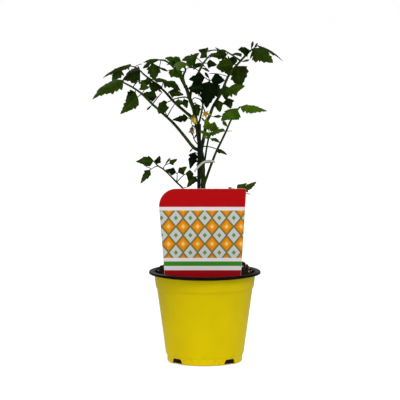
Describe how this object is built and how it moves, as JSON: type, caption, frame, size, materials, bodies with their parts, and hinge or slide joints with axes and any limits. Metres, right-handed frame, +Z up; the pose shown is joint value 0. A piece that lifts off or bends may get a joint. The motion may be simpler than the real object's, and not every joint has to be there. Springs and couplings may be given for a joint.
{
  "type": "cherry tomato plant in a pot",
  "caption": "Young cherry tomato plant in a round two-tone nursery pot of soil, tied to a cane, with toothed compound leaves, small flowers and a plain printed label.",
  "frame": {"origin": "middle of the pot's base, on the surface it stands on", "axes": "+Z up the plant; -Y is the side that the label faces; +X to the right as seen from there"},
  "size_m": [0.2357, 0.1904, 0.4014],
  "materials": {
    "pot": "satin yellow outside, near-black inside and on the rim",
    "soil": "loose dark potting mix with pale grains",
    "stake": "matt black",
    "tie": "pale, slightly translucent",
    "label": "printed card with a light sheen",
    "stem": "green, finely hairy",
    "leaf": "matt green with sunken veins",
    "young_leaf": "matt light green with sunken veins",
    "petal": "soft matt yellow"
  },
  "bodies": {
    "root": {"pot": "pot", "soil": "soil", "stake": "stake", "tie": "tie", "label": "label", "main_stem": "stem", "leaf_left_long": "leaf", "leaf_left_upper": "leaf", "leaf_fork_left": "leaf", "leaf_top_left": "leaf", "leaf_top_back": "leaf", "leaf_centre": "leaf", "shoot_right": "leaf", "leaf_arching": "leaf", "leaf_top_right": "leaf", "leaf_narrow_right": "leaf", "leaf_narrow_left": "leaf", "leaf_left_base": "leaf", "leaf_stem_top": "leaf", "leaf_stem_upper": "leaf", "leaf_stem_lower": "leaf", "sprout": "leaf", "leaf_right_base": "leaf", "leaf_top_front": "young_leaf", "leaf_right_low": "young_leaf", "leaf_inner": "young_leaf", "flower_open_stalk": "stem", "flower_hanging_stalk": "stem", "flower_faded_stalk": "stem", "flower_open_petals": "petal", "flower_hanging_petals": "petal", "flower_faded_petals": "petal"}
  },
  "joints": []
}
